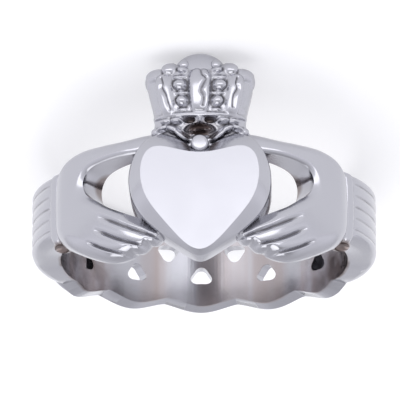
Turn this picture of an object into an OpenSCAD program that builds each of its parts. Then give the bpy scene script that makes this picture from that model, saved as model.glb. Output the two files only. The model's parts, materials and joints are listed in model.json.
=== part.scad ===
// Claddagh heart ring, cast in one piece: two hands hold a heart under a crown,
// on a band with cuffs at the wrists and an open three-strand plait round the back.
// The ring is worked out upright: x to the right, z towards the crown, front at -y.
// It is then laid on its side, where it rests on the crown and the back of the band.

/* [Band] */
// Radius of the finger hole
bore_r = 9.05; // [8.9:0.05:9.2]
// Thickness of the strip inside the plait
strip_t = 0.75; // [0.6:0.05:0.9]
// Half height of the strip inside the plait
strip_half = 2.5; // [2.4:0.05:2.55]

/* [Plait] */
// Swing of each strand above and below the middle
swing = 2.0; // [1.9:0.05:2.1]
// Width of a strand
strand_w = 1.5; // [1.4:0.05:1.6]
// Height of the plait above the finger hole at a crossing
plait_rise = 1.8; // [1.7:0.05:1.85]
// Angle from one lobe of the plait to the next
lobe_pitch = 27.5; // [27.5]
// Angle from the middle of the back to the first lower lobe
lobe_shift = 2.5; // [0:0.5:4]

/* [Cuffs] */
// Angle from the front to the wrist
wrist_phi = 58.5; // [58:0.5:59]
// Angle from the front to the back end of a cuff
cuff_end_phi = 103; // [102:1:104]
// Height of a cuff above the finger hole
cuff_rise = 1.87; // [1.8:0.01:1.9]
// Height of a cuff from rim to rim
cuff_h = 4.4; // [4.3:0.1:4.5]
// Number of pleats of a cuff
pleats = 5; // [4:6]

/* [Heart] */
// Width of the heart at the foot of its border
heart_w = 8.68; // [8.5:0.02:8.8]
// Height of the flat face above the finger hole
heart_rise = 2.95; // [2.8:0.05:3.1]
// Depth of the rounded border
border_d = 0.75; // [0.6:0.05:0.9]
// Diameter of the ball in the notch
ball_d = 1.06; // [0.9:0.02:1.2]

/* [Crown] */
// Height of the foot of the crown above the middle of the band
crown_foot = 3.8; // [3.7:0.05:3.9]
// Height of the top of the crown above the middle of the band
crown_top = 8.25; // [8.15:0.05:8.3]
// Half width at the foot
crown_foot_half = 2.72; // [2.6:0.02:2.8]
// Half width at the widest place
crown_wide_half = 3.37; // [3.25:0.02:3.45]
// Diameter of the beads between the posts
bead_d = 1.0; // [0.9:0.05:1.1]

/* [Hidden] */

// Everything is cast a little inside the finger hole, which is then bored
core_r = bore_r - 0.5;
// Past the band the castings stand clear of the finger by this much
relief = 0.4;
band_half = 2.6;
// Length of arc for one degree where the relief lies
relief_r = bore_r + 2.2;
arc_mm = PI * relief_r / 180;
face_y = -(bore_r + heart_rise);
// Width at which the heart's outline is written down below
drawn_heart_w = 8.68;

// Depth of the rim's scallops, of a strand's dip under another and of a strand's round back
scallop = 0.18;
weave_dip = 0.28;
strand_round = 0.65;
// Radius of the holes in the weave, and how far they lie above and below the middle
hole_r = 0.6;
hole_off = 0.78;
// Depth of a cuff's pleats and of its rounded rims
pleat_d = 0.14;
cuff_round = 0.5;

// Half axes of the cap on the crown, and the middle of it and of the plait's rim as [y, z]
cap_size = [1.6, 1.1, 1.3];
crown_side_y = -(bore_r + 1.2);
cap_at = [crown_side_y - 0.35, crown_top - cap_size[2]];
plait_shoulder = plait_rise - strand_round;
rim_at = [bore_r + plait_shoulder - 0.3, swing + strand_w / 2];

// Tilt that brings the cap and the plait's rim down to one level, which the ring rests on
rest_span = rim_at[0] - cap_at[0];
rest_drop = cap_at[1] - rim_at[1];
tilt = atan(rest_drop / rest_span) + asin(cap_size[2] * 0.99 / norm([rest_span, rest_drop]));

// Columns of a limb's table: place, half width, height of its shoulder and of its back above the finger hole
PHI = 0;
Z = 1;
HALF = 2;
SHOULDER = 3;
BACK = 4;

// phi, z, half, shoulder, back
palm_rows = [
    [62, -0.13, 2.03, 1.3, 1.75],
    [57, -0.13, 2.23, 1.3, 2.05],
    [52, -0.23, 2.58, 1.2, 2.45],
    [47, -0.4, 3.0, 1.1, 2.75],
    [43.5, -0.65, 3.2, 1.0, 2.8],
    [40.8, -0.93, 3.15, 0.9, 2.6],
];
thumb_rows = [
    [50, 1.1, 1.1, 1.3, 2.4],
    [45.5, 1.8, 0.9, 1.5, 2.55],
    [41, 2.1, 0.75, 1.5, 2.55],
    [37, 2.33, 0.62, 1.5, 2.5],
    [30, 2.55, 0.55, 1.4, 2.4],
    [23, 2.7, 0.6, 1.3, 2.35],
    [16, 2.88, 0.6, 1.2, 2.3],
    [7, 3.1, 0.55, 1.1, 2.1],
];
// Web of the hand that carries the fingers
web_rows = [
    [44, -1.65, 2.25, 0.9, 2.6],
    [41, -2.05, 2.15, 0.8, 2.55],
    [38, -2.48, 1.98, 0.8, 2.45],
    [34, -2.93, 1.83, 0.7, 2.35],
    [30, -3.18, 1.7, 0.6, 2.15],
    [25, -3.38, 1.5, 0.5, 1.95],
    [20, -3.48, 1.15, 0.5, 1.85],
    [15, -3.58, 0.63, 0.5, 1.75],
];
index_rows = [
    [38, -1.2, 0.5, 1.0, 2.4],
    [33, -1.65, 0.44, 1.1, 2.6],
    [25, -2.2, 0.42, 1.1, 2.75],
    [18, -2.8, 0.44, 1.0, 2.75],
    [13.5, -3.3, 0.36, 0.9, 2.6],
    [11.5, -3.5, 0.2, 0.8, 2.3],
];
middle_rows = [
    [39, -1.9, 0.5, 1.0, 2.4],
    [33, -2.45, 0.45, 1.0, 2.65],
    [25.5, -3.05, 0.46, 0.9, 2.65],
    [19.5, -3.58, 0.44, 0.8, 2.55],
    [16.2, -3.92, 0.34, 0.7, 2.3],
    [14.8, -4.05, 0.18, 0.6, 1.9],
];
third_rows = [
    [40, -2.6, 0.5, 0.9, 2.3],
    [35, -3.15, 0.46, 0.8, 2.45],
    [29, -3.7, 0.48, 0.7, 2.4],
    [23.5, -4.14, 0.44, 0.6, 2.2],
    [20.5, -4.36, 0.3, 0.5, 1.9],
    [19.3, -4.45, 0.16, 0.5, 1.6],
];
little_rows = [
    [42, -3.1, 0.5, 0.8, 2.0],
    [37, -3.75, 0.48, 0.6, 2.1],
    [32, -4.3, 0.44, 0.5, 2.0],
    [28, -4.62, 0.4, 0.5, 1.75],
    [25, -4.72, 0.26, 0.5, 1.5],
];

// Columns of the crown's table: height, half width, depth of the front before the sides
LEVEL = 0;
WIDE = 1;
DEEP = 2;
// level, wide, deep
crown_rows = [
    [crown_foot, crown_foot_half, 1.45],
    [crown_foot + 1.0, crown_foot_half + 0.23, 1.55],
    [crown_foot + 2.0, crown_wide_half - 0.17, 1.65],
    [crown_foot + 2.8, crown_wide_half, 1.6],
    [crown_foot + 3.25, crown_wide_half - 0.15, 1.3],
    [crown_foot + 3.5, crown_wide_half - 0.5, 1.0],
    [crown_foot + 3.8, crown_wide_half - 1.5, 0.8],
];
crown_back_y = -(bore_r + 0.35);

function at(phi, r, z) = [r * sin(phi), -r * cos(phi), z];

// Point of a smooth curve through four rows, for t from 0 to 1 between the middle two
function spline(a, b, c, d, t) =
    ((d - 3 * c + 3 * b - a) * t ^ 3 + (2 * a - 5 * b + 4 * c - d) * t ^ 2 + (c - a) * t + 2 * b) / 2;

function smooth_rows(rows, steps) = let (last = len(rows) - 1) [
    for (i = [0 : last - 1], k = [0 : steps - 1])
        spline(rows[max(i - 1, 0)], rows[i], rows[i + 1], rows[min(i + 2, last)], k / steps),
    rows[last],
];

// Direction along the unrolled relief from one row to another
function heading(a, b) = let (d = [(b[PHI] - a[PHI]) * arc_mm, b[Z] - a[Z]]) d / norm(d);

// Round-backed section across a limb, with walls down to the core
function limb_section(row, way, arcs) = [
    for (a = [0 : 180 / arcs : 180])
        let (u = -row[HALF] * cos(a))
        at(row[PHI] - way[1] * u / arc_mm,
           bore_r + row[SHOULDER] + (row[BACK] - row[SHOULDER]) * sin(a), row[Z] + way[0] * u),
    for (u = [row[HALF], -row[HALF]])
        at(row[PHI] - way[1] * u / arc_mm, core_r, row[Z] + way[0] * u),
];

// Closed solid through sections that all have the same number of points
module skin(sections) {
    n = len(sections[0]);
    m = len(sections);
    sides = [
        for (i = [0 : m - 2], j = [0 : n - 1])
            let (a = i * n, b = (i + 1) * n, k = (j + 1) % n)
            each [[a + j, a + k, b + k], [a + j, b + k, b + j]]
    ];
    ends = [[for (j = [n - 1 : -1 : 0]) j], [for (j = [0 : n - 1]) (m - 1) * n + j]];
    polyhedron([for (s = sections) each s], concat(sides, ends), convexity = 8);
}

// Limb through its table's rows; an upright one keeps its sections along the ring's axis
module limb(rows, steps = 2, arcs = 5, upright = false) {
    path = smooth_rows(rows, steps);
    last = len(path) - 1;
    skin([
        for (i = [0 : last])
            let (way = upright ? [-1, 0] : heading(path[max(i - 1, 0)], path[min(i + 1, last)]))
            limb_section(path[i], way, arcs)
    ]);
}

// Half height of the plait, which is lower beside the cuffs, and its middle, which is higher there
function plait_swing(delta) = swing - 0.25 * (1 - cos(delta));
function plait_mid(delta) = 0.2 * (1 - cos(delta));

// Strip behind the plait, with soft scallops along its rims
module strip() {
    half = 180 - cuff_end_phi + 3;
    steps = 34;
    skin([
        for (i = [0 : steps])
            let (delta = half - 2 * half * i / steps,
                 phi = 180 + delta,
                 wave = 360 * (delta - lobe_shift) / lobe_pitch,
                 mid = plait_mid(delta),
                 low = mid - strip_half - scallop * cos(wave) + 0.2 * (1 - cos(delta)),
                 high = mid + strip_half - scallop * cos(wave) - 0.2 * (1 - cos(delta)))
            [at(phi, core_r, low), at(phi, core_r, high),
             at(phi, bore_r + strip_t, high), at(phi, bore_r + strip_t, low)]
    ]);
}

// One strand swings once from rim to rim in three lobes and passes over and under the others in turn
function strand_row(delta, third) =
    let (turn = 120 * (delta - lobe_shift) / lobe_pitch + 120 * third)
    [180 + delta, plait_mid(delta) - plait_swing(delta) * cos(turn), strand_w / 2,
     plait_shoulder, plait_rise - weave_dip + weave_dip * sin(2 * turn)];

module strand(third) {
    half = 180 - cuff_end_phi + 2;
    steps = 30;
    path = [for (i = [0 : steps]) strand_row(half - 2 * half * i / steps, third)];
    skin([
        for (i = [0 : steps])
            limb_section(path[i], heading(path[max(i - 1, 0)], path[min(i + 1, steps)]), 4)
    ]);
}

// Rounded three-cornered hole with its point towards the middle of the band
module weave_hole(delta, side) {
    z = plait_mid(delta) + side * hole_off;
    rotate([90, 0, 180 + delta])
    translate([0, z, bore_r - 1])
    linear_extrude(4)
    polygon([
        for (a = [0 : 24 : 336])
            let (r = hole_r * (1 + 0.12 * cos(3 * (a + 90 * side))))
            [r * cos(a) * 1.1, r * sin(a)]
    ]);
}

module plait() {
    difference() {
        union() {
            strip();
            for (third = [0 : 2]) strand(third);
        }
        for (k = [-2 : 2]) weave_hole(lobe_shift + k * lobe_pitch, -1);
        for (k = [-2.5 : 2.5]) weave_hole(lobe_shift + k * lobe_pitch, 1);
    }
}

// Half of a cuff's section from the lower rim to the upper, with a round ridge for each pleat
function cuff_section(phi, h, mid) = [
    at(phi, core_r, mid - h / 2),
    for (i = [0 : pleats * 3])
        let (t = i / (pleats * 3),
             fold = pleat_d * (1 - abs(sin(180 * pleats * t))),
             rim = cuff_round * (2 * t - 1) ^ 8)
        at(phi, bore_r + cuff_rise - fold - rim, mid + (t - 0.5) * h),
    at(phi, core_r, mid + h / 2),
];

module cuff() {
    steps = 5;
    start = wrist_phi - 1;
    skin([
        for (i = [0 : steps])
            let (t = i / steps)
            cuff_section(start + (cuff_end_phi - start) * t, cuff_h - 0.3 + 0.3 * sin(180 * t), 0.15 * t)
    ]);
}

// Thin upright rib between the cuff and the hand
module wrist_rib() {
    rows = [[wrist_phi, -2.5, 0.16, 1.2, 1.7], [wrist_phi, -2.2, 0.24, 1.5, 2.05],
            [wrist_phi, 0, 0.24, 1.5, 2.2], [wrist_phi, 1.9, 0.24, 1.5, 2.05], [wrist_phi, 2.2, 0.16, 1.2, 1.7]];
    limb(rows, 2, 4);
}

module hand() {
    limb(palm_rows, 1, 8, upright = true);
    limb(web_rows, 1, 7, upright = true);
    limb(thumb_rows, 2, 5);
    for (rows = [index_rows, middle_rows, third_rows, little_rows]) limb(rows, 2, 4);
    wrist_rib();
    cuff();
}

// Outline of the heart at the foot of the border and at the edge of the flat face
function heart_foot(t) = heart_w / drawn_heart_w * [
    3.8 * sin(t) + 0.11 * sin(2 * t) - 0.55 * sin(3 * t),
    -0.48 + 3.95 * cos(t) - 0.63 * cos(2 * t) - 0.57 * cos(3 * t) - 0.24 * cos(4 * t)];
function heart_edge(t) = heart_w / drawn_heart_w * [
    3.5 * sin(t) + 0.39 * sin(2 * t) - 0.04 * sin(3 * t),
    -0.65 + 3.21 * cos(t) - 0.55 * cos(2 * t) - 0.16 * cos(3 * t) - 0.23 * cos(4 * t)];

function heart_loop(mix, y, points) = [
    for (i = [0 : points - 1])
        let (t = 360 * i / points, p = heart_foot(t) * mix + heart_edge(t) * (1 - mix))
        [p[0], y, p[1]]
];

module heart() {
    points = 44;
    foot_y = face_y + border_d;
    skin([
        heart_loop(1, -(bore_r - 1.6), points),
        for (a = [0 : 30 : 90]) heart_loop(cos(a), foot_y - border_d * sin(a), points),
    ]);
}

module notch_ball() {
    translate([0, face_y + ball_d * 0.55, 2.2]) sphere(d = ball_d, $fn = 12);
}

// Point on the crown's front for an angle from its middle, standing off by the given distance
function crown_at(row, a, off) = [
    (row[WIDE] + off) * sin(a), crown_side_y - (row[DEEP] + off) * cos(a), row[LEVEL]];

function crown_row(level) = let (
    rows = crown_rows,
    last = len(rows) - 1,
    i = max([for (k = [0 : last - 1]) level >= rows[k][LEVEL] ? k : 0]),
    t = (level - rows[i][LEVEL]) / (rows[i + 1][LEVEL] - rows[i][LEVEL])
) rows[i] * (1 - t) + rows[i + 1] * t;

module crown_body() {
    skin([
        for (row = crown_rows)
            [for (a = [90 : -22.5 : -90]) crown_at(row, a, 0),
             [-row[WIDE] * 0.96, crown_back_y, row[LEVEL]], [row[WIDE] * 0.96, crown_back_y, row[LEVEL]]]
    ]);
}

// Upright post on the crown's front at angle a
module crown_post(a, spread, rise, top) {
    levels = [0.15, 0.35, 1.2, 2.2, top - 0.3, top];
    skin([
        for (i = [0 : len(levels) - 1])
            let (row = crown_row(crown_foot + levels[i]), out = i == 0 || i == len(levels) - 1 ? 0.25 : 1)
            [for (b = [0 : 36 : 180]) crown_at(row, a + spread * cos(b), rise * out * sin(b)),
             crown_at(row, a - spread, -0.5), crown_at(row, a + spread, -0.5)]
    ]);
}

module crown_bead(a, level, d) {
    translate(crown_at(crown_row(crown_foot + level), a, 0.02)) sphere(d = d, $fn = 10);
}

// Rounded ring round the foot of the crown
module crown_foot_ring() {
    row = crown_row(crown_foot);
    skin([
        for (a = [-84 : 14 : 84])
            [for (b = [0 : 60 : 300])
                let (p = crown_at(row, a, 0.02 + 0.2 * cos(b)))
                [p[0], p[1], crown_foot + 0.08 + 0.22 * sin(b)]]
    ]);
}

// Plain neck that joins the crown to the heart and the thumbs
module crown_neck() {
    row = crown_row(crown_foot);
    skin([
        for (level = [[1.6, 0.25], [crown_foot - 0.25, 0.1], [crown_foot + 0.1, 0]])
            [for (a = [90 : -30 : -90])
                let (p = crown_at(row, a, level[1])) [p[0], max(p[1], crown_side_y - 1.0), level[0]],
             [-crown_foot_half, crown_back_y, level[0]], [crown_foot_half, crown_back_y, level[0]]]
    ]);
}

module crown() {
    crown_body();
    crown_neck();
    crown_foot_ring();
    crown_post(0, 11, 0.32, 2.95);
    for (side = [-1, 1]) {
        crown_post(side * 48, 9, 0.3, 2.75);
        crown_post(side * 75, 8, 0.12, 2.7);
        crown_bead(side * 27, 1.2, bead_d);
        crown_bead(side * 29, 2.2, bead_d);
        crown_bead(side * 38, 3.1, bead_d);
        crown_bead(side * 64, 3.05, bead_d);
    }
    translate([0, cap_at[0], cap_at[1]]) scale(cap_size) sphere(1, $fn = 16);
}

module castings() {
    plait();
    hand();
    mirror([1, 0, 0]) hand();
    heart();
    notch_ball();
    crown();
}

// Room behind the hands, heart and crown where they reach past the band
module back_relief() {
    for (z = [-8, band_half]) translate([0, 0, z]) cylinder(r = bore_r + relief, h = 8 - band_half, $fn = 90);
}

module upright_ring() {
    difference() {
        // The castings are one shape with common edges before the finger hole is bored
        resize([0, 0, 0])
        difference() {
            castings();
            back_relief();
        }
        translate([0, 0, -10]) cylinder(r = bore_r, h = 20, $fn = 180);
    }
}

module ring() {
    color([0.8, 0.8, 0.84])
    rotate([-tilt, 0, 0])
    rotate([0, 180, 0])
    upright_ring();
}

ring();
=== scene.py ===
# Claddagh heart ring in polished steel, lying on its side on a pale table
import json
from math import atan2, cos, degrees, pi, radians, sin

import bpy
import numpy as np
from mathutils import Matrix, Vector


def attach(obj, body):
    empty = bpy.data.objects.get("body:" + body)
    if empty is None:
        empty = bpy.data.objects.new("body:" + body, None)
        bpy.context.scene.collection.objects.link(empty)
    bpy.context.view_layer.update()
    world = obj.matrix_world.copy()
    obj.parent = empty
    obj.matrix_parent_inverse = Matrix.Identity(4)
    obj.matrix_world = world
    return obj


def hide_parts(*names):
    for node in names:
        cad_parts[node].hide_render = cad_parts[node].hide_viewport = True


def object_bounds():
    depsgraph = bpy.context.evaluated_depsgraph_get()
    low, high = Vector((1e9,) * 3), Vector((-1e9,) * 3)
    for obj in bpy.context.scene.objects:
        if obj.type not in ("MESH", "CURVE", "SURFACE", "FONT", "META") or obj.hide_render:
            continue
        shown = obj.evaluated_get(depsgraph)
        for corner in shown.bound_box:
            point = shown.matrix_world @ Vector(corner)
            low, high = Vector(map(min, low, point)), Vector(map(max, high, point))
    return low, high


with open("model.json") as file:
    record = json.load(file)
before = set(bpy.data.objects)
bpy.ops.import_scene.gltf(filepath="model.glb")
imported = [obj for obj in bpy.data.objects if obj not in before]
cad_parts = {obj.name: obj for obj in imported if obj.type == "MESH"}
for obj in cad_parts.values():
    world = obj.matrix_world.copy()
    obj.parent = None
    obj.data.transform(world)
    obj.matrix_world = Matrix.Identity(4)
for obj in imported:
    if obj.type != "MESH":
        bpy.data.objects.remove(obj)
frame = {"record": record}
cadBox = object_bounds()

# The ring is modelled upright in millimetres: x to the right, z to the crown, front at -y.
# Heights of the relief are worked out on a flat layout, with x along the finger's girth.
mm = 0.001      # metres in a millimetre
bore = frame["record"]["mounts"][0]
ring = {
    "boreR": bore["dims"]["r_mm"],
    "leanDeg": degrees(atan2(bore["axis"][1], bore["axis"][2])),
    "reliefRise": 2.2,      # height above the finger where the flat layout keeps its length
    "bandHalf": 2.6,        # past this the castings stand clear of the finger
    "topClear": 0.4, "lowClear": 0.8,       # room left there behind the crown and behind the finger tips
    "rimInwards": 0.6,      # the rims of cast plates are drawn in to this share of their radius
    "roomReach": 12, "holeReach": 13,
    "cutterSides": 256,
    "crispDeg": 40,         # edges that turn by more than this stay crisp
}
boreR = ring["boreR"]
reliefR = boreR + ring["reliefRise"]
arcMm = pi * reliefR / 180


def ringPlace(phi, rise, z):
    turn = radians(phi)
    return Vector(((boreR + rise) * sin(turn), -(boreR + rise) * cos(turn), z))


# Handling of pieces
def clearSelection():
    if bpy.context.object and bpy.context.object.mode != "OBJECT":
        bpy.ops.object.mode_set(mode="OBJECT")
    bpy.ops.object.select_all(action="DESELECT")


def pick(piece):
    clearSelection()
    piece.select_set(True)
    bpy.context.view_layer.objects.active = piece
    return piece


def named(name):
    piece = bpy.context.object
    piece.name = piece.data.name = name
    return piece


def settle(piece):
    pick(piece)
    bpy.ops.object.transform_apply(location=True, rotation=True, scale=True)
    return piece


def useModifier(piece, kind, **values):
    pick(piece)
    modifier = piece.modifiers.new(kind.title(), kind)
    for key, value in values.items():
        setattr(modifier, key, value)
    bpy.ops.object.modifier_apply(modifier=modifier.name)
    return piece


def cleanNormals(piece):
    pick(piece)
    bpy.ops.object.mode_set(mode="EDIT")
    bpy.ops.mesh.select_all(action="SELECT")
    bpy.ops.mesh.remove_doubles(threshold=0.001)
    bpy.ops.mesh.normals_make_consistent(inside=False)
    bpy.ops.object.mode_set(mode="OBJECT")
    return piece


def selectRims(piece):
    pick(piece)
    bpy.ops.object.mode_set(mode="EDIT")
    bpy.ops.mesh.select_mode(type="EDGE")
    bpy.ops.mesh.select_all(action="DESELECT")
    bpy.ops.mesh.select_non_manifold()


def closeSelected(piece):
    bpy.ops.mesh.edge_face_add()
    bpy.ops.object.mode_set(mode="OBJECT")
    return cleanNormals(piece)


def copied(piece, name):
    pick(piece)
    bpy.ops.object.duplicate(linked=False)
    return named(name)


def placesOf(piece):
    places = np.empty(len(piece.data.vertices) * 3)
    piece.data.vertices.foreach_get("co", places)
    return places.reshape(-1, 3)


def edgesOf(piece):
    edges = np.empty(len(piece.data.edges) * 2, int)
    piece.data.edges.foreach_get("vertices", edges)
    return edges.reshape(-1, 2)


def fusedWith(piece, others, how="UNION"):
    for other in others:
        useModifier(piece, "BOOLEAN", operation=how, object=other, solver="MANIFOLD")
        bpy.data.objects.remove(other)
    return piece


# Tables of angle and height become smooth lines on the flat layout, in millimetres
def smoothLine(points, closed=True, steps=8, scale=arcMm):
    # Each stretch from b to c is a cubic that also heeds the points before and after it
    spots = [np.array((a * scale, b)) for a, b in points]
    count = len(spots)
    line = []
    for k in range(count if closed else count - 1):
        near = [k + step if closed else min(max(k + step, 0), count - 1) for step in (-1, 0, 1, 2)]
        a, b, c, d = (spots[n % count] for n in near)
        for t in np.arange(steps) / steps:
            line.append(b + 0.5 * t * (c - a + t * (2 * a - 5 * b + 4 * c - d + t * (3 * (b - c) + d - a))))
    if not closed:
        line.append(spots[-1])
    return np.array(line)


def fromTable(table, x, scale=arcMm):
    line = smoothLine(table, closed=False, scale=scale)
    return np.interp(x, line[:, 0], line[:, 1])


def awayFrom(spots, line, closed=True):
    # How far each spot is from the line, and how far along the line its nearest place is
    ends = np.roll(line, -1, axis=0) if closed else line[1:]
    best = np.full(len(spots), np.inf)
    along = np.zeros(len(spots))
    for k, (a, b) in enumerate(zip(line, ends)):
        run = b - a
        share = np.clip((spots - a) @ run / (run @ run), 0, 1)
        far = np.hypot(*(spots - a - share[:, None] * run).T)
        along = np.where(far < best, (k + share) / len(ends), along)
        best = np.minimum(best, far)
    return best, along


def isInside(spots, line):
    inside = np.zeros(len(spots), bool)
    x, z = spots.T
    for a, b in zip(line, np.roll(line, -1, axis=0)):
        if a[1] != b[1]:
            crossing = a[0] + (z - a[1]) * (b[0] - a[0]) / (b[1] - a[1])
            inside ^= ((a[1] > z) != (b[1] > z)) & (x < crossing)
    return inside


def rounded(away, width):
    # A quarter round from the edge inwards: 0 at the edge, 1 from the width on
    return np.sqrt(1 - (1 - np.clip(away / width, 0, 1)) ** 2)


def blurred(field, passes):
    # Each height is evened out with its neighbours, as casting and polishing do
    for _ in range(passes):
        for axis in (0, 1):
            wide = np.pad(field, [(1, 1) if axis == k else (0, 0) for k in (0, 1)], mode="edge")
            wide = np.moveaxis(wide, axis, 0)
            field = np.moveaxis(0.25 * wide[:-2] + 0.5 * wide[1:-1] + 0.25 * wide[2:], 0, axis)
    return field


# Cast relief is a fine grid between two edges, raised to its height and closed behind.
# In a plate's values, soften counts the passes that even out its heights, crowd gathers its rows at both
# edges, bias gathers rows and columns at their start, and lean is the share of height its inner rim keeps.
def castPlate(name, plate, ends, edges, riseOf, placeOf, closing):
    low, high = ends
    lowEdge, highEdge = edges
    clearSelection()
    bpy.ops.mesh.primitive_grid_add(x_subdivisions=plate["columns"], y_subdivisions=plate["rows"], size=2)
    piece = named(name)
    share = np.array([v.co[:2] for v in piece.data.vertices]) / 2 + 0.5
    x = low + share[:, 0] ** plate["bias"] * (high - low)
    bottom, top = lowEdge(x), highEdge(x)
    crowded = share[:, 1] - plate["crowd"] * np.sin(2 * pi * share[:, 1]) / (2 * pi)
    z = bottom + crowded ** plate["bias"] * (top - bottom)
    column, row = np.rint(share * (plate["columns"], plate["rows"])).astype(int).T
    field = np.zeros((plate["rows"] + 1, plate["columns"] + 1))
    field[row, column] = riseOf(np.column_stack((x, z)), z - bottom, top - z)
    heights = blurred(field, plate["soften"])[row, column]
    piece.data.vertices.foreach_set("co", placeOf(x, heights, z).ravel())
    selectRims(piece)
    bpy.ops.mesh.extrude_edges_move()
    bpy.ops.transform.resize(value=closing[0], center_override=closing[1])
    return closeSelected(piece)


def ringPlate(name, side, plate, lowEdge, highEdge, riseOf):
    def placeOf(x, rise, z):
        turn = side * x / arcMm * pi / 180
        return np.column_stack(((boreR + rise) * np.sin(turn), -(boreR + rise) * np.cos(turn), z))

    ends = (plate["from"] * arcMm, plate["to"] * arcMm)
    inwards = ((ring["rimInwards"], ring["rimInwards"], plate["lean"]), (0, 0, 0))
    return castPlate(name, plate, ends, (lowEdge, highEdge), riseOf, placeOf, inwards)


hand = {
    "from": 7.0, "to": 58.5,
    "columns": 216, "rows": 144, "soften": 3, "crowd": 0.25, "bias": 1.25, "lean": 0.8,
    # Edges of the casting, then the height of its back above the finger, each by angle
    "low": [(7, -2.92), (9, -3.14), (10.4, -3.36), (11.6, -3.42), (12.8, -3.4), (14.4, -3.72), (15.8, -3.8),
            (17.2, -3.78), (19.2, -4.12), (20.8, -4.22), (22.6, -4.22), (25.0, -4.46), (27.6, -4.57),
            (30.5, -4.58), (34, -4.45), (38, -4.2), (42, -3.9), (46, -3.57), (50, -3.22), (54, -2.9),
            (57, -2.7), (60, -2.65)],
    "high": [(7, 2.7), (9, 2.95), (12, 3.2), (15, 3.28), (18.6, 3.24), (25.5, 3.05), (32.9, 2.96),
             (40.3, 2.86), (46.4, 2.54), (51.6, 2.0), (55, 1.9), (60, 1.9)],
    "back": [(4, 2.3), (12, 2.45), (18, 2.6), (24, 2.72), (30, 2.78), (36, 2.84), (42, 2.86), (46, 2.8),
             (49, 2.64), (51.5, 2.42), (53.2, 2.16), (54.4, 1.7), (56, 1.4), (58.5, 1.3)],
    "foot": 1.25,
    # How far in from the edges the back is rounded
    "lowRound": [(4, 0.3), (12, 0.3), (20, 0.4), (30, 0.8), (40, 1.2), (60, 1.4)],
    "highRound": 0.75,
    "dome": 0.28, "domeMiddle": -0.6, "domeHalf": 3.4,
    # Grooves between the fingers, from the palm to the tips
    "grooves": [
        [(32.4, -1.84), (27.5, -2.29), (22.8, -2.72), (18, -3.1), (13.4, -3.44), (10.8, -3.62)],
        [(33.9, -2.6), (30, -3.0), (26.7, -3.32), (22, -3.66), (17.6, -3.92), (15.2, -4.06)],
        [(36.9, -3.26), (34, -3.58), (31.7, -3.81), (28.5, -4.05), (24.4, -4.3), (21.8, -4.46)],
    ],
    "grooveDepth": 0.3, "grooveHalf": 0.055,
    "grooveStart": 1 / 6, "grooveStartCurve": 1.2,      # share of a groove along which it sinks in
    "fingerDome": 0.06, "fingerHalf": 0.4,
    "softBeside": 0.3, "softAbove": 1.5,                # grooves are shaded smoothly this far around
    # The gap's upper edge all round, and the edge where its wall starts
    "gapRim": [(8, 2.2), (20, 2.05), (26, 1.96), (31.2, 1.76), (35, 1.52), (37.4, 1.16), (38.8, 0.56),
               (38.8, -0.1), (37.3, -0.68), (32.3, -1.32), (26.4, -1.94), (20.6, -2.6), (8, -3.3)],
    "gapWall": [(8, 2.04), (20, 1.9), (26, 1.81), (31.2, 1.61), (34.6, 1.36), (36.6, 1.02), (37.7, 0.5),
                (37.2, -0.08), (35.6, -0.48), (33.2, -0.76), (27.6, -1.44), (19, -2.1), (8, -2.74)],
    "gapReach": {1: 0.96, -1: 1.035},
    "gapSlope": 1.1, "gapDepth": 0.6,
    # The gap widens towards the finger: height, then how much wider and taller about its middle
    "gapFlare": [(-1, 1.28, 1.14), (2.2, 1, 1), (5, 1, 1)], "gapMiddle": (12, -0.3),
    "rimRound": 0.16, "rimDrop": 0.06,
}


def gapLine(side, edge):
    # The gap of one hand reaches a little further than the other's
    middle = hand["gapMiddle"][0]
    return [(middle + (phi - middle) * hand["gapReach"][side], z) for phi, z in hand[edge]]


def makeHand(side):
    rim, wall = smoothLine(gapLine(side, "gapRim")), smoothLine(gapLine(side, "gapWall"))

    def riseOf(spots, fromLow, fromHigh):
        x, z = spots.T
        offMiddle = (z - hand["domeMiddle"]) / hand["domeHalf"]
        back = fromTable(hand["back"], x) - hand["dome"] * offMiddle ** 2
        edge = rounded(fromLow, fromTable(hand["lowRound"], x)) * rounded(fromHigh, hand["highRound"])
        rise = hand["foot"] + (back - hand["foot"]) * edge
        for groove in hand["grooves"]:
            away, along = awayFrom(spots, smoothLine(groove, closed=False), closed=False)
            fade = np.clip(along / hand["grooveStart"], 0, 1) ** hand["grooveStartCurve"]
            rise -= fade * hand["fingerDome"] * np.clip(1 - away / hand["fingerHalf"], 0, 1) ** 2
            rise -= fade * hand["grooveDepth"] * np.exp(-(away / hand["grooveHalf"]) ** 2)
        fromRim = awayFrom(spots, rim)[0]
        rise -= hand["rimDrop"] * np.clip(1 - fromRim / hand["rimRound"], 0, 1) ** 2
        slope = np.minimum(fromRim * hand["gapSlope"], hand["gapDepth"])
        return rise - np.where(isInside(spots, rim), slope, 0)

    palm = ringPlate("hand", side, hand, lambda x: fromTable(hand["low"], x),
                     lambda x: fromTable(hand["high"], x), riseOf)
    return fusedWith(palm, [gapCutter(side, wall)], "DIFFERENCE")


def gapCutter(side, wall):
    clearSelection()
    bpy.ops.mesh.primitive_grid_add(x_subdivisions=len(wall), y_subdivisions=2, size=2)
    cutter = named("gapCutter")
    middlePhi, middleZ = hand["gapMiddle"]
    for v in cutter.data.vertices:
        x, z = wall[round((v.co.x + 1) / 2 * len(wall)) % len(wall)]
        rise, wider, taller = hand["gapFlare"][round(v.co.y) + 1]
        phi = middlePhi + (x / arcMm - middlePhi) * wider
        v.co = ringPlace(side * phi, rise, middleZ + (z - middleZ) * taller)
    selectRims(cleanNormals(cutter))
    return closeSelected(cutter)


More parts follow.
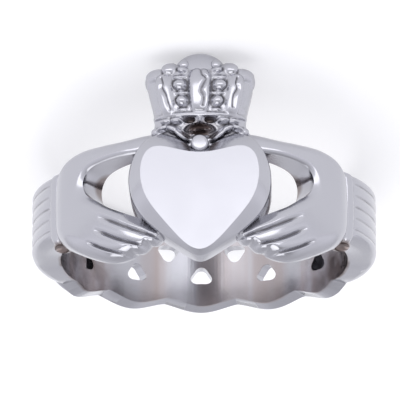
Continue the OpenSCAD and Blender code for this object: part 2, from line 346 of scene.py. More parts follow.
cuff = {
    "from": 53.0, "to": 122.0,
    "columns": 110, "rows": 56, "soften": 1, "crowd": 0.5, "bias": 1, "lean": 0.8,
    "low": [(53, -2.95), (55, -2.92), (57, -2.7), (59, -2.4), (61, -2.25), (66, -2.18), (80, -2.14),
            (92, -2.2), (100, -2.34), (108, -2.45), (115, -2.45), (122, -2.3)],
    "high": [(53, 2.1), (56, 2.08), (60, 2.12), (67, 2.2), (90, 2.24), (105, 2.15), (115, 1.95),
             (122, 1.7)],
    "back": [(53, 1.6), (60, 1.72), (66, 1.8), (92, 1.81), (100, 1.78), (108, 1.68), (116, 1.5),
             (122, 1.25)],
    "foot": 0.85,
    "round": 0.55, "endRound": 1.3,
    "pleats": 6, "pleatDepth": 0.12,
    "pleatWobble": 0.15,
    "pleatStart": 59, "pleatFade": 3,       # angles at which the pleats begin and sink in
    # A raised rib bows across the cuff's end beside the hand
    "rib": [(55.4, 2.4), (56.2, 1.2), (56.6, -0.13), (56.4, -1.4), (55.4, -2.9)],
    "ribHalf": 0.52, "ribHeight": 0.4,
    "ribSquare": 3, "ribEndRound": 0.3,
    # A fine line runs along both sides of the rib, its place and width in half widths of the rib
    "lineDepth": 0.14, "linePlace": 1.15, "lineHalf": 0.2,
    # Under the rib a small heel with a pocket in it: angle, height, level, then its half sizes
    "heel": ((54.4, 1.3, -2.6), (1.0, 0.6, 0.5)),
    "pocket": ((54.4, 1.7, -2.98), (0.72, 0.5, 0.34)),
}


def makeCuff(side):
    line = smoothLine(cuff["rib"], closed=False)

    def riseOf(spots, fromLow, fromHigh):
        x = spots[:, 0]
        share = fromLow / (fromLow + fromHigh)
        wave = np.abs(np.sin(pi * cuff["pleats"] * share + cuff["pleatWobble"] * np.sin(x)))
        begun = np.clip((x / arcMm - cuff["pleatStart"]) / cuff["pleatFade"], 0, 1)
        fold = cuff["pleatDepth"] * (1 - wave) ** 2 * begun
        edge = rounded(fromLow, cuff["round"]) * rounded(fromHigh, cuff["round"])
        edge *= rounded(cuff["to"] * arcMm - x, cuff["endRound"])
        rise = cuff["foot"] + (fromTable(cuff["back"], x) - fold - cuff["foot"]) * edge
        away = awayFrom(spots, line, closed=False)[0] / cuff["ribHalf"]
        ends = rounded(fromLow, cuff["ribEndRound"]) * rounded(fromHigh, cuff["ribEndRound"])
        rise -= cuff["lineDepth"] * ends * np.exp(-((away - cuff["linePlace"]) / cuff["lineHalf"]) ** 2)
        return rise + cuff["ribHeight"] * ends * np.sqrt(np.clip(1 - away ** cuff["ribSquare"], 0, 1))

    return ringPlate("cuff", side, cuff, lambda x: fromTable(cuff["low"], x),
                     lambda x: fromTable(cuff["high"], x), riseOf)


def ovalOn(side, part):
    (phi, rise, z), size = cuff[part]
    clearSelection()
    bpy.ops.mesh.primitive_uv_sphere_add(segments=32, ring_count=20, radius=1)
    oval = named(part)
    oval.scale = size
    oval.rotation_euler = (0, 0, radians(side * phi))
    oval.location = ringPlace(side * phi, rise, z)
    return settle(oval)


heart = {
    # Sizes of the sine and cosine waves whose sum is the outline, at the border's foot and at the face
    "footX": (3.8, 0.11, -0.55),
    "footZ": (-0.48, 3.95, -0.63, -0.57, -0.24),
    "edgeX": (3.5, 0.39, -0.04),
    "edgeZ": (-0.65, 3.21, -0.55, -0.16, -0.23),
    "rise": 2.95,
    "rootDepth": 1.7,       # how far the heart goes in past the finger's surface, before the bore is cut
    "border": 0.75,
    "borderRound": 1.35,    # 1 is a straight slope, more is rounder at the foot
    "points": 160,
    "steps": 9,
    "ball": 1.06, "ballZ": 2.28,
    "ballLong": 1.6, "ballDrop": 0.12, "ballRound": 0.2,
}


def heartPlace(turn, mix):
    # mix 1 is the foot of the border and 0 the edge of the flat face
    across = [a * mix + b * (1 - mix) for a, b in zip(heart["footX"], heart["edgeX"])]
    upwards = [a * mix + b * (1 - mix) for a, b in zip(heart["footZ"], heart["edgeZ"])]
    x = sum(size * sin((k + 1) * turn) for k, size in enumerate(across))
    z = sum(size * cos(k * turn) for k, size in enumerate(upwards))
    return x, z


def makeHeart():
    faceY = -(boreR + heart["rise"])
    footY = faceY + heart["border"]
    clearSelection()
    rows = heart["steps"] + 1       # one row goes down from the border's foot
    bpy.ops.mesh.primitive_grid_add(x_subdivisions=heart["points"], y_subdivisions=rows, size=2)
    shell = named("heart")
    for v in shell.data.vertices:
        turn = (v.co.x + 1) * pi
        step = (v.co.y + 1) / 2 * rows
        if step < 0.5:
            mix, y = 1, -(boreR - heart["rootDepth"])
        else:
            share = max((step - 1) / heart["steps"], 0)
            mix = 1 - share ** heart["borderRound"]
            y = footY - heart["border"] * share
        x, z = heartPlace(turn, mix)
        v.co = (x, y, z)
    selectRims(cleanNormals(shell))
    closeSelected(shell)
    clearSelection()
    ballY = faceY + heart["ballDrop"] + heart["ballLong"] / 2
    bpy.ops.mesh.primitive_cylinder_add(vertices=48, radius=heart["ball"] / 2, depth=heart["ballLong"],
                                        rotation=(pi / 2, 0, 0), location=(0, ballY, heart["ballZ"]))
    ball = settle(named("notchBall"))
    useModifier(ball, "BEVEL", width=heart["ballRound"], segments=6, limit_method="ANGLE")
    return [shell, ball]


crown = {
    "foot": 3.8,
    "sideY": -(boreR + 1.2),
    "backY": -(boreR + 0.35),
    "turn": 97,             # how far its front reaches round to each side, in degrees
    "columns": 180, "rows": 136, "soften": 2, "crowd": 0.0, "bias": 1,
    "low": -1.9,
    "girthHalf": (3.1, 1.55),       # half sizes of the oval along which widths are measured
    # Levels are heights above the foot ring: half width and depth of the body at each
    "wide": [(-2.1, 3.05), (-1.2, 3.05), (-0.7, 2.96), (-0.35, 2.86), (0, 2.8), (0.5, 2.84), (1.1, 2.96),
             (1.7, 3.11), (2.3, 3.24), (2.8, 3.3), (3.2, 3.24), (3.9, 3.0)],
    "deep": [(-2.1, 0.5), (-0.9, 0.75), (-0.4, 1.05), (0, 1.3), (0.5, 1.46), (1.1, 1.52), (1.7, 1.56),
             (2.3, 1.58), (2.8, 1.52), (3.2, 1.4), (3.9, 1.1)],
    # Upper edge: level at each turn from the front
    "top": [(-97, 2.5), (-88, 2.9), (-76, 3.3), (-64, 3.44), (-52, 3.42), (-44, 3.66), (-36, 3.76),
            (-28, 3.6), (-20, 3.44), (-10, 3.4), (0, 3.42), (10, 3.4), (20, 3.44), (28, 3.6), (36, 3.76),
            (44, 3.66), (52, 3.42), (64, 3.44), (76, 3.3), (88, 2.9), (97, 2.5)],
    "topRound": 0.3, "topDrop": 0.34,
    # Raised parts: turn, level, half width, half height, tilt in degrees, height, squareness
    "bosses": [
        (0, 1.8, 0.64, 1.46, 0, 0.33, 3.2),         # middle post
        (42.4, 1.6, 0.5, 1.36, 0, 0.33, 3.4),       # side posts
        (20.8, 1.16, 0.38, 0.38, 0, 0.44, 2),       # beads
        (22, 2.16, 0.4, 0.38, 0, 0.44, 2),
        (21.2, 0.62, 0.34, 0.12, 0, 0.2, 2),        # rails between them
        (21.6, 1.66, 0.36, 0.12, 0, 0.16, 2),
        (22, 2.66, 0.4, 0.14, 0, 0.2, 2),
        (66, 0.8, 0.3, 0.14, 0, 0.05, 2),
        (19, 3.2, 0.3, 0.26, 0, 0.36, 2),           # round heads along the top
        (36, 3.34, 0.44, 0.42, 0, 0.36, 2),
        (62, 3.06, 0.66, 0.52, 0, 0.2, 2),
        (84, 2.7, 0.5, 0.5, 0, 0.1, 2),
        (0, 0.0, 0.1, 0.2, 0, 0.26, 3),             # small bars under the foot ring
        (30, -0.02, 0.4, 0.17, 0, 0.34, 3),
        (47, -0.02, 0.36, 0.17, 0, 0.3, 3),
        (22, -0.86, 0.62, 0.2, 40, 0.52, 2),        # leaves between crown and heart
        (33, -0.5, 0.5, 0.2, 24, 0.46, 2),
        (50, -0.42, 0.46, 0.2, -14, 0.36, 2),
        (44, -0.98, 0.5, 0.22, 26, 0.44, 2),
        (62, -0.6, 0.5, 0.26, 24, 0.34, 2),
        (66, -1.1, 0.5, 0.24, -20, 0.26, 2),
        (80, -0.75, 0.5, 0.3, -40, 0.14, 2),
        (0, -0.5, 0.8, 0.07, 3, 0.16, 2),           # fine ridges in the neck
        (0, -0.78, 0.66, 0.06, -4, 0.14, 2),
    ],
    # Fine wavy creases down the posts: distance round from the front, level
    "creases": [
        [(0.06, 3.15), (0.12, 2.8), (0.36, 2.5), (0.2, 2.1), (0.1, 1.75), (0.26, 1.3), (0.2, 0.8)],
        [(2.14, 2.7), (2.06, 2.3), (2.16, 1.95), (2.02, 1.5), (2.06, 0.8)],
        [(-2.2, 2.7), (-2.1, 2.3), (-2.16, 2.0), (-2.02, 1.6), (-1.98, 1.2), (-1.9, 0.6)],
    ],
    "creaseHalf": 0.055, "creaseDepth": 0.26,
    # Hollows in the same way, their height being a depth
    "hollows": [
        (0, -0.62, 1.05, 0.42, 0, 0.5, 2.2),        # between the crown and the ball in the notch
        (14, 0.02, 0.42, 0.17, 0, 0.45, 2.4),       # slots under the foot ring
        (21, 1.66, 0.4, 1.2, 0, 0.12, 3),           # ground of the beads
    ],
    "sunkShare": 0.5,       # a raised part in a hollow starts this far down it
    "ring": 0.3, "ringHalf": 0.15, "ringHeight": 0.2, "ringFade": 100,
    "cap": (1.64, 1.1, 1.3), "capTop": 8.25, "capForward": 0.35,
    "capHead": (0.98, -1.12, 7.3), "capHeadR": 0.34,
    "softLevels": (0.1, 3.1),       # between these its front is shaded smoothly
}


def girthAt(turn):
    # Distance round the crown's oval from the front
    wide, deep = crown["girthHalf"]
    steps = np.radians(np.linspace(-110, 110, 441))
    pace = np.hypot(wide * np.cos(steps), deep * np.sin(steps)) * (steps[1] - steps[0])
    run = np.cumsum(pace)
    return np.interp(np.radians(turn), steps, run - run[len(run) // 2])


def bossOver(girth, level, turn, middle, across, tall, tilt, height, square):
    a, b = girth - girthAt(turn), level - middle
    lean = radians(tilt)
    p = np.abs(a * cos(lean) + b * sin(lean)) / across
    q = np.abs(b * cos(lean) - a * sin(lean)) / tall
    return height * np.sqrt(np.clip(1 - p ** square - q ** square, 0, 1))


def onBothSides(rows, girth, level):
    # Each row's shape on the right and on the left, and only once where it stands in the middle
    for sign in (-1, 1):
        for turn, *rest in rows:
            if turn or sign > 0:
                yield bossOver(sign * girth, level, turn, *rest)


def crownRise(spots, fromLow, fromHigh):
    turn, level = spots.T
    girth = girthAt(turn)
    hollow = -sum(onBothSides(crown["hollows"], girth, level))
    rise = hollow
    for boss in onBothSides(crown["bosses"], girth, level):
        rise = np.where(boss > 0, np.maximum(rise, hollow * crown["sunkShare"] + boss), rise)
    away = np.clip(np.abs(level - crown["ring"]) / crown["ringHalf"], 0, 1)
    height = crown["ringHeight"] * np.clip(1 - (turn / crown["ringFade"]) ** 2, 0, 1)
    rise = np.where(away < 1, np.maximum(rise, height * np.sqrt(1 - away ** 2)), rise)
    for crease in crown["creases"]:
        line = smoothLine(crease, closed=False, scale=1)
        away = awayFrom(np.column_stack((girth, level)), line, closed=False)[0]
        rise -= crown["creaseDepth"] * np.exp(-(away / crown["creaseHalf"]) ** 2)
    return rise - crown["topDrop"] * (1 - rounded(fromHigh, crown["topRound"]))


def makeCrown():
    def placeOf(turn, rise, level):
        about = np.radians(turn)
        wide, deep = (fromTable(crown[size], level, 1) + rise for size in ("wide", "deep"))
        return np.column_stack((wide * np.sin(about), crown["sideY"] - deep * np.cos(about),
                                crown["foot"] + level))

    edges = (lambda turn: np.full(len(turn), crown["low"]), lambda turn: fromTable(crown["top"], turn, 1))
    backwards = ((1, 0, 1), (0, crown["backY"], 0))
    body = castPlate("crown", crown, (-crown["turn"], crown["turn"]), edges, crownRise, placeOf, backwards)
    clearSelection()
    bpy.ops.mesh.primitive_uv_sphere_add(segments=56, ring_count=36, radius=1, scale=crown["cap"],
                                         location=(0, crown["sideY"] - crown["capForward"],
                                                   crown["capTop"] - crown["cap"][2]))
    caps = [settle(named("crownCap"))]
    for side in (1, -1):
        x, y, z = crown["capHead"]
        bpy.ops.mesh.primitive_uv_sphere_add(segments=24, ring_count=16, radius=crown["capHeadR"],
                                             location=(side * x, crown["sideY"] + y, z))
        caps.append(settle(named("capHead")))
    return fusedWith(body, caps)


plait = {
    "from": 100.0, "to": 260.0,
    "columns": 280, "rows": 52, "soften": 2, "crowd": 0.6, "bias": 1, "lean": 0.7,
    "pitch": 27.5,          # from one lobe to the next, in degrees
    "shift": 2.5,           # from the middle of the back to the middle of a lobe
    "lowEdge": 2.68, "highEdge": 2.4, "scallop": 0.26,
    "foot": 0.98, "round": 0.5,
    "swing": 2.04,          # how far each strand swings to both sides
    "strandHalf": 0.86,
    "strandRise": 1.48, "weave": 0.18, "strandDome": 0.62,
    "floorRise": 0.98,      # ground between the strands
    "tuck": 0.2,            # how much narrower the plait starts under the cuffs
    "tuckFrom": 58, "tuckOver": 20,     # in degrees from the middle of the back
    "holeSize": (1.3, 1.1), "holeLong": 4,
    "holeCorner": 0.14,
    "holeOff": 0.78,
    "blindDepth": 1.3,      # the outermost lower holes don't come through
}


def plaitWave(x, offset=0):
    # 1 in the middle of a round lobe, with a sharper dip between lobes
    turn = pi * ((x / arcMm - 180 - plait["shift"]) / plait["pitch"] + offset)
    return (np.cos(2 * turn) + 2 * np.abs(np.cos(turn)) - 1) / 2


def plaitRise(spots, fromLow, fromHigh):
    x, z = spots.T
    rise = np.full(len(x), plait["floorRise"])
    for third in range(3):
        turn = 2 * pi / 3 * ((x / arcMm - 180 - plait["shift"]) / plait["pitch"] + third)
        middle = -plait["swing"] * np.sin(pi / 2 * np.cos(turn))
        steep = plait["swing"] * pi ** 2 / 3 / plait["pitch"] / arcMm
        slope = steep * np.cos(pi / 2 * np.cos(turn)) * np.sin(turn)
        away = np.abs(z - middle) / np.sqrt(1 + slope ** 2) / plait["strandHalf"]
        top = plait["strandRise"] + plait["weave"] * np.sin(2 * turn)
        strand = top - plait["strandDome"] * (1 - np.sqrt(np.clip(1 - away ** 2, 0, 1)))
        rise = np.where(away < 1, np.maximum(rise, strand), rise)
    edge = rounded(fromLow, plait["round"]) * rounded(fromHigh, plait["round"])
    return plait["foot"] + (rise - plait["foot"]) * edge


def weaveHole(delta, side, depth=0):
    # A round hole, drawn out to three soft corners, one of them towards the middle of the band
    clearSelection()
    bpy.ops.mesh.primitive_cylinder_add(vertices=36, radius=1, depth=plait["holeLong"],
                                        rotation=(pi / 2, 0, 0))
    hole = settle(named("weaveHole"))
    wide, tall = plait["holeSize"]
    for v in hole.data.vertices:
        turn = atan2(v.co.z, v.co.x)
        reach = 1 + plait["holeCorner"] * cos(3 * (turn - pi / 2))
        v.co.x *= reach * wide / 2
        v.co.z *= -side * reach * tall / 2
    hole.rotation_euler = (0, 0, radians(180 + delta))
    hole.location = ringPlace(180 + delta, -depth, side * plait["holeOff"])
    settle(hole)
    return cleanNormals(hole)


def plaitLow(x):
    hidden = np.clip((np.abs(x / arcMm - 180) - plait["tuckFrom"]) / plait["tuckOver"], 0, 1)
    return -(plait["lowEdge"] + plait["scallop"] * plaitWave(x)) * (1 - plait["tuck"] * hidden)


def plaitHigh(x):
    return plait["highEdge"] + plait["scallop"] * plaitWave(x, 0.5)


def makePlait():
    band = ringPlate("band", 1, plait, plaitLow, plaitHigh, plaitRise)
    holes = [weaveHole(plait["shift"] + k * plait["pitch"], -1, plait["blindDepth"] * (abs(k) == 2))
             for k in range(-2, 3)]
    holes += [weaveHole(plait["shift"] + (k - 0.5) * plait["pitch"], 1) for k in range(-2, 4)]
    return fusedWith(band, holes, "DIFFERENCE")


def roundCutter(name, radius, low, high):
    clearSelection()
    bpy.ops.mesh.primitive_cylinder_add(vertices=ring["cutterSides"], radius=radius, depth=high - low,
                                        location=(0, 0, (low + high) / 2))
    return settle(named(name))


def roundCreases(piece):
    # The bottoms of the fine creases between fingers and in the crown stay smooth
    x, y, z = placesOf(piece).T
    flat = np.column_stack((np.abs(np.arctan2(x, -y)) * reliefR, z))
    level = z - crown["foot"]
    lowest, highest = crown["softLevels"]
    soft = (y < crown["sideY"]) & (level > lowest) & (level < highest)
    for groove in hand["grooves"]:
        away = awayFrom(flat, smoothLine(groove, closed=False), closed=False)[0]
        soft |= (away < hand["softBeside"]) & (np.hypot(x, y) > boreR + hand["softAbove"])
    sharp = piece.data.attributes["sharp_edge"].data
    isSharp = np.empty(len(sharp), bool)
    sharp.foreach_get("value", isSharp)
    sharp.foreach_set("value", isSharp & ~soft[edgesOf(piece)].all(axis=1))


def makeRing():
    band = makePlait()
    print("plait", len(band.data.polygons))
    cuffs = [makeCuff(side) for side in (1, -1)]
    print("cuffs", len(cuffs[0].data.polygons))
    hands = [makeHand(side) for side in (1, -1)]
    print("hands", len(hands[0].data.polygons))
    heartParts = makeHeart()
    print("heart", len(heartParts[0].data.polygons))
    crownWhole = makeCrown()
    print("crown", len(crownWhole.data.polygons))
    front = fusedWith(cuffs[0], cuffs[1:] + hands + [ovalOn(side, "heel") for side in (1, -1)])
    fusedWith(front, [ovalOn(side, "pocket") for side in (1, -1)], "DIFFERENCE")
    fusedWith(front, heartParts + [crownWhole])
    half, reach, holeReach = ring["bandHalf"], ring["roomReach"], ring["holeReach"]
    fusedWith(front, [roundCutter("topRoom", boreR + ring["topClear"], half, reach),
                      roundCutter("lowRoom", boreR + ring["lowClear"], -reach, -half)], "DIFFERENCE")
    fusedWith(band, [front])
    fusedWith(band, [roundCutter("fingerHole", boreR, -holeReach, holeReach)], "DIFFERENCE")
    pick(band)
    bpy.ops.object.shade_smooth_by_angle(angle=radians(ring["crispDeg"]))
    roundCreases(band)
    faceY = -(boreR + heart["rise"])
    for face in band.data.polygons:
        if face.normal.y < -0.999 and abs(face.center.y - faceY) < 0.005:
            face.use_smooth = False     # keeps the rim of the heart's flat face crisp
    return band


# Crown down, leaning until the crown's cap and the back of the band share one level
layTurn = Matrix.Rotation(-radians(ring["leanDeg"]), 4, "X") @ Matrix.Rotation(pi, 4, "Y")


def layDown(piece):     # and from millimetres to metres
    pick(piece)
    piece.matrix_world = Matrix.Scale(mm, 4) @ layTurn
    return settle(piece)


band = layDown(makeRing())
band.name = "castRing"
print("ring", sum(len(p.vertices) - 2 for p in band.data.polygons), "triangles")

finish = {
    "steel": (0.462, 0.462, 0.498, 1),
    # Painted shade, darkest in the creases and recesses
    "recessShade": (0.05, 0.045, 0.05, 1),
    # Painted reflection inside the band, warm and streaked along the finger
    "inside": (0.38, 0.31, 0.29, 1),
    # Painted dark reflection inside, towards the sides
    "darkReflection": (0.11, 0.075, 0.065, 1),
    # Painted shade in the hollows listed below
    "hollowShade": (0.2, 0.16, 0.15, 1),
    # Noises: scale, detail, and the two values between which the effect comes in
    "reflectionStreaks": (420, 3, 0.42, 0.68),
    "blots": (520, 4, 0.44, 0.62),
    "patches": (300, 4, 0.3, 0.7),
    "insideSkin": (0.03, 0.2),      # millimetres past the bore where the painted reflection inside fades out
    "darkReflectionSides": (5.5, 8.5),          # millimetres to the side where the painted dark reflection inside begins and is full
    # The most that each colour covers
    "reflectionStreakShare": 0.85, "darkReflectionShare": 0.9, "creaseShadeShare": 0.96, "hollowShadeShare": 0.85,
    "creaseShadeEdges": (0.3, 0.9), "grimeEdges": (0.2, 1), "hollowShadeEdges": (0.15, 0.5),
    # Painted shade sits on both sides alike: its place as x, y and minus z of the upright ring, and its
    # reach
    "shadedHollows": [
        ((0, -10.7, -3.5), (1.55, 1.3, 0.72)),      # under the crown
        ((8.6, -6.2, 2.9), (1.4, 1.2, 0.6)),        # pockets by the cuffs
        ((6.3, -6.7, -0.85), (1.4, 1.4, 1.4)),      # outer ends of the gaps
    ],
    "roughness": (0.13, 0.24), "grimeRoughness": 0.3,
    "waves": (700, 160), "waveStrength": 0.07, "waveMm": 0.06,      # scales of two noises, multiplied
    "grain": 9000, "grainStrength": 0.05, "grainMm": 0.01,
    "recessScale": 0.026,           # millimetres that count as a deep crease
    "recessPasses": 12, "recessBlur": 2,
}


def markRecesses(piece):
    # A smoothed copy lies above the true skin wherever there is a crease
    smooth = copied(piece, "smoothTwin")
    useModifier(smooth, "SMOOTH", factor=0.5, iterations=finish["recessPasses"])
    count = len(piece.data.vertices)
    normals = np.empty(count * 3)
    piece.data.vertex_normals.foreach_get("vector", normals)
    lift = (placesOf(smooth) - placesOf(piece)) * normals.reshape(-1, 3)
    depth = np.clip(lift.sum(axis=1) / mm / finish["recessScale"], 0, 1)
    a, b = edgesOf(piece).T
    shares = np.bincount(a, minlength=count) + np.bincount(b, minlength=count)
    for _ in range(finish["recessBlur"]):
        around = np.bincount(a, depth[b], count) + np.bincount(b, depth[a], count)
        depth = 0.5 * depth + 0.5 * around / np.maximum(shares, 1)
    # The mask along which the steel gets painted shade in its creases, and a rougher polish there
    mask = piece.data.attributes.new("recessShade", "FLOAT", "POINT")
    mask.data.foreach_set("value", depth)
    bpy.data.objects.remove(smooth)


rangeEnds = ("From Min", "From Max", "To Min", "To Max")


def makeSteel():
    steel = bpy.data.materials.new("polishedSteel")
    steel.use_nodes = True
    nodes, links = steel.node_tree.nodes, steel.node_tree.links
    shader = nodes["Principled BSDF"]
    shader.inputs["Metallic"].default_value = 1.0
    place = nodes.new("ShaderNodeTexCoord").outputs["Object"]

    def noise(source, scale, detail):
        node = nodes.new("ShaderNodeTexNoise")
        node.inputs["Scale"].default_value = scale
        node.inputs["Detail"].default_value = detail
        links.new(source, node.inputs["Vector"])
        return node.outputs["Fac"]

    def spread(source, fromLow, fromHigh, toLow, toHigh):
        node = nodes.new("ShaderNodeMapRange")
        for name, value in zip(rangeEnds, (fromLow, fromHigh, toLow, toHigh)):
            node.inputs[name].default_value = value
        links.new(source, node.inputs["Value"])
        return node.outputs[0]

    def noiseSpread(source, name, toLow, toHigh):
        scale, detail, fromLow, fromHigh = finish[name]
        return spread(noise(source, scale, detail), fromLow, fromHigh, toLow, toHigh)

    def bump(height, strength, depth):
        node = nodes.new("ShaderNodeBump")
        node.inputs["Strength"].default_value = strength
        node.inputs["Distance"].default_value = depth * mm
        links.new(height, node.inputs["Height"])
        return node

    def combine(how, a, b):
        node = nodes.new("ShaderNodeMath")
        node.operation = how
        links.new(a, node.inputs[0])
        links.new(b, node.inputs[1])
        return node.outputs[0]

    def blend(share, a, b):
        node = nodes.new("ShaderNodeMix")
        node.data_type = "RGBA"
        links.new(share, node.inputs["Factor"])
        for value, socket in ((a, node.inputs["A"]), (b, node.inputs["B"])):
            if isinstance(value, tuple):
                socket.default_value = value
            else:
                links.new(value, socket)
        return node.outputs["Result"]

    # Painted reflection inside the band: near the finger's axis, with streaks along it
    upright = nodes.new("ShaderNodeMapping")
    upright.inputs["Rotation"].default_value = (radians(ring["leanDeg"]), 0, 0)
    links.new(place, upright.inputs["Vector"])
    flat = nodes.new("ShaderNodeVectorMath")
    flat.operation = "MULTIPLY"
    flat.inputs[1].default_value = (1, 1, 0)
    links.new(upright.outputs[0], flat.inputs[0])
    radius = nodes.new("ShaderNodeVectorMath")
    radius.operation = "LENGTH"
    links.new(flat.outputs[0], radius.inputs[0])
    inside = spread(radius.outputs["Value"], *[(boreR + past) * mm for past in finish["insideSkin"]], 1, 0)
    reflectionStreaks = noiseSpread(flat.outputs[0], "reflectionStreaks", 0, finish["reflectionStreakShare"])
    colour = blend(combine("MULTIPLY", inside, reflectionStreaks), finish["steel"], finish["inside"])

    # Painted dark brown reflection inside, towards the sides
    across = nodes.new("ShaderNodeSeparateXYZ")
    links.new(upright.outputs[0], across.inputs[0])
    aside = nodes.new("ShaderNodeMath")
    aside.operation = "ABSOLUTE"
    links.new(across.outputs["X"], aside.inputs[0])
    sides = spread(aside.outputs[0], *[far * mm for far in finish["darkReflectionSides"]], 0, finish["darkReflectionShare"])
    blots = noiseSpread(place, "blots", 0, 1)
    darkReflections = combine("MULTIPLY", combine("MULTIPLY", sides, blots), inside)
    colour = blend(darkReflections, colour, finish["darkReflection"])

    # Painted shade in the creases, then painted shade in the hollows of both sides
    recessShade = nodes.new("ShaderNodeAttribute")
    recessShade.attribute_name = "recessShade"
    # Painted shade: the creases darken towards near black
    crease = spread(recessShade.outputs["Fac"], *finish["creaseShadeEdges"], 0, finish["creaseShadeShare"])
    colour = blend(crease, colour, finish["recessShade"])
    bothSides = nodes.new("ShaderNodeCombineXYZ")
    links.new(aside.outputs[0], bothSides.inputs["X"])
    for axis in ("Y", "Z"):
        links.new(across.outputs[axis], bothSides.inputs[axis])
    # Each hollow gets a ball of painted shade
    for spot, size in finish["shadedHollows"]:
        hollow = nodes.new("ShaderNodeMapping")
        hollow.vector_type = "TEXTURE"
        hollow.inputs["Location"].default_value = [value * mm for value in spot]
        hollow.inputs["Scale"].default_value = [value * mm for value in size]
        ball = nodes.new("ShaderNodeTexGradient")
        ball.gradient_type = "SPHERICAL"
        links.new(bothSides.outputs[0], hollow.inputs["Vector"])
        links.new(hollow.outputs[0], ball.inputs["Vector"])
        hollowShade = spread(ball.outputs["Fac"], *finish["hollowShadeEdges"], 0, finish["hollowShadeShare"])
        colour = blend(hollowShade, colour, finish["hollowShade"])
    links.new(colour, shader.inputs["Base Color"])

    patches = noiseSpread(place, "patches", *finish["roughness"])
    grime = spread(recessShade.outputs["Fac"], *finish["grimeEdges"], 0, finish["grimeRoughness"])
    links.new(combine("ADD", patches, grime), shader.inputs["Roughness"])

    # Fine grain and soft waves left by the polishing
    fine, broad = finish["waves"]
    grain = bump(noise(place, finish["grain"], 3), finish["grainStrength"], finish["grainMm"])
    waves = combine("MULTIPLY", noise(place, fine, 2), noise(place, broad, 1))
    uneven = bump(waves, finish["waveStrength"], finish["waveMm"])
    links.new(grain.outputs[0], uneven.inputs["Normal"])
    links.new(uneven.outputs[0], shader.inputs["Normal"])
    return steel


markRecesses(band)
band.data.materials.clear()
band.data.materials.append(makeSteel())
print("finish", len(band.data.materials[0].node_tree.nodes), "nodes")

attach(band, "root")
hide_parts("ring")

# Table, light and camera
tableTop = {
    "size": 1.2,
    "light": (0.74, 0.74, 0.75, 1), "dark": (0.715, 0.715, 0.73, 1),
    "darkTo": 0.35, "lightFrom": 0.6,       # values of the mottle between which the colour changes
    "glow": 0.3,
    "mottle": 60, "grain": 2500,
    "grainStrength": 0.1, "grainMm": 0.02,
}


def makeTableTop():
    paper = bpy.data.materials.new("paleTable")
    paper.use_nodes = True
    nodes, links = paper.node_tree.nodes, paper.node_tree.links
    shader = nodes["Principled BSDF"]
    shader.inputs["Roughness"].default_value = 1.0
    shader.inputs["Emission Color"].default_value = (1, 1, 1, 1)
    shader.inputs["Emission Strength"].default_value = tableTop["glow"]
    place = nodes.new("ShaderNodeTexCoord").outputs["Object"]
    mottle, grain = nodes.new("ShaderNodeTexNoise"), nodes.new("ShaderNodeTexNoise")
    for node, scale in ((mottle, tableTop["mottle"]), (grain, tableTop["grain"])):
        node.inputs["Scale"].default_value = scale
        links.new(place, node.inputs["Vector"])
    ramp = nodes.new("ShaderNodeValToRGB")
    for stop, spot, colour in zip(ramp.color_ramp.elements, ("darkTo", "lightFrom"), ("dark", "light")):
        stop.position = tableTop[spot]
        stop.color = tableTop[colour]
    bump = nodes.new("ShaderNodeBump")
    bump.inputs["Strength"].default_value = tableTop["grainStrength"]
    bump.inputs["Distance"].default_value = tableTop["grainMm"] * mm
    links.new(mottle.outputs["Fac"], ramp.inputs[0])
    links.new(ramp.outputs[0], shader.inputs["Base Color"])
    links.new(grain.outputs["Fac"], bump.inputs["Height"])
    links.new(bump.outputs[0], shader.inputs["Normal"])
    return paper


clearSelection()
bpy.ops.mesh.primitive_plane_add(size=tableTop["size"], location=(0, 0, cadBox[0][2]))
table = settle(named("table"))
table.data.materials.append(makeTableTop())

view = {
    "riseDeg": 15.5, "turnDeg": 1.4,        # how far below and beside the upright ring's front
    "distance": 0.3, "farthest": 10,
    "sensorMm": 36,
    "pxPerMm": 15.83, "centrePx": (204.2, 229.0), "framePx": 400,
}


def placeCamera():
    turn, rise = radians(view["turnDeg"]), radians(view["riseDeg"])
    across = Vector((cos(turn), sin(turn), 0))
    inwards = Vector((-sin(turn), cos(turn), 0))
    ahead = inwards * cos(rise) + Vector((0, 0, sin(rise)))
    upwards = Vector((0, 0, cos(rise))) - inwards * sin(rise)
    half = view["framePx"] / 2
    centreX, centreY = view["centrePx"]
    offset = (across * (half - centreX) + upwards * (centreY - half)) / view["pxPerMm"] * mm
    eye = offset - ahead * view["distance"]
    camera = bpy.data.objects.new("camera", bpy.data.cameras.new("camera"))
    bpy.context.collection.objects.link(camera)
    camera.data.sensor_width = view["sensorMm"]
    camera.data.lens = view["pxPerMm"] * view["distance"] / mm * view["sensorMm"] / view["framePx"]
    camera.data.clip_end = view["farthest"]
    lay = layTurn.to_3x3()
    axes = Matrix((lay @ across, lay @ upwards, lay @ -ahead)).transposed()
    camera.matrix_world = Matrix.Translation(lay @ eye) @ axes.to_4x4()
    bpy.context.scene.camera = camera


placeCamera()

studio = {
    # Height above the horizon in degrees, and how bright the room is there
    "levels": [(-10, 0.74), (4, 0.86), (14, 0.95), (24, 0.74), (36, 0.8), (50, 0.58), (62, 0.32),
               (75, 0.52), (90, 0.78)],
    "tint": (0.95, 0.95, 1.0),
    "strength": 1.35,
    "behind": (0.35, 0.9, 1.0, 0.72),       # towards the back, from y 0.35 to 0.9, it darkens to 0.72
    # Soft boxes: place, size in metres, and watts
    "topBox": ((0.05, 0.0, 0.34), (0.4, 0.3), 0.52),
    "frontBox": ((0.0, -0.5, 0.09), (0.8, 0.2), 0.65),
}


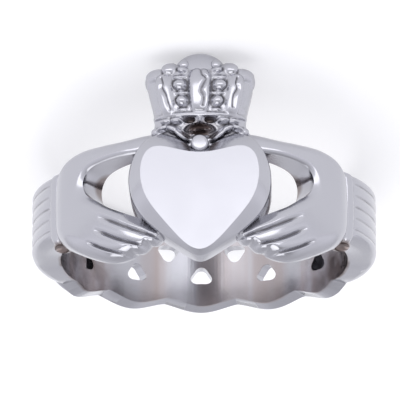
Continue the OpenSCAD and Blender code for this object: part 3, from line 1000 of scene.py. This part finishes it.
def makeStudio():
    world = bpy.data.worlds.new("studio")
    bpy.context.scene.world = world
    world.use_nodes = True
    nodes, links = world.node_tree.nodes, world.node_tree.links
    place = nodes.new("ShaderNodeTexCoord")
    parts = nodes.new("ShaderNodeSeparateXYZ")
    height = nodes.new("ShaderNodeMath")
    height.operation = "ARCSINE"
    share = nodes.new("ShaderNodeMapRange")
    share.inputs["From Min"].default_value = -pi / 2
    share.inputs["From Max"].default_value = pi / 2
    ramp = nodes.new("ShaderNodeValToRGB")
    ramp.color_ramp.interpolation = "B_SPLINE"
    for k, (level, bright) in enumerate(studio["levels"]):
        spot = 0.5 + level / 180
        stop = ramp.color_ramp.elements[k] if k < 2 else ramp.color_ramp.elements.new(spot)
        stop.position = spot
        stop.color = (*[bright * c for c in studio["tint"]], 1)
    links.new(place.outputs["Generated"], parts.inputs[0])
    links.new(parts.outputs["Z"], height.inputs[0])
    links.new(height.outputs[0], share.inputs["Value"])
    links.new(share.outputs[0], ramp.inputs[0])
    behind = nodes.new("ShaderNodeMapRange")
    behind.interpolation_type = "SMOOTHSTEP"
    for name, value in zip(rangeEnds, studio["behind"]):
        behind.inputs[name].default_value = value
    shade = nodes.new("ShaderNodeVectorMath")
    shade.operation = "SCALE"
    links.new(parts.outputs["Y"], behind.inputs["Value"])
    links.new(ramp.outputs[0], shade.inputs[0])
    links.new(behind.outputs[0], shade.inputs["Scale"])
    links.new(shade.outputs[0], nodes["Background"].inputs["Color"])
    nodes["Background"].inputs["Strength"].default_value = studio["strength"]


def softBox(name):
    place, size, power = studio[name]
    light = bpy.data.lights.new(name, "AREA")
    light.shape = "RECTANGLE"
    light.size, light.size_y = size
    light.energy = power
    lamp = bpy.data.objects.new(name, light)
    bpy.context.collection.objects.link(lamp)
    lamp.location = place
    lamp.rotation_mode = "QUATERNION"
    lamp.rotation_quaternion = Vector(place).to_track_quat("Z", "Y")


makeStudio()
softBox("topBox")
softBox("frontBox")
bpy.context.scene.view_settings.view_transform = "Standard"
print("studio", len(bpy.data.lights), "lights")
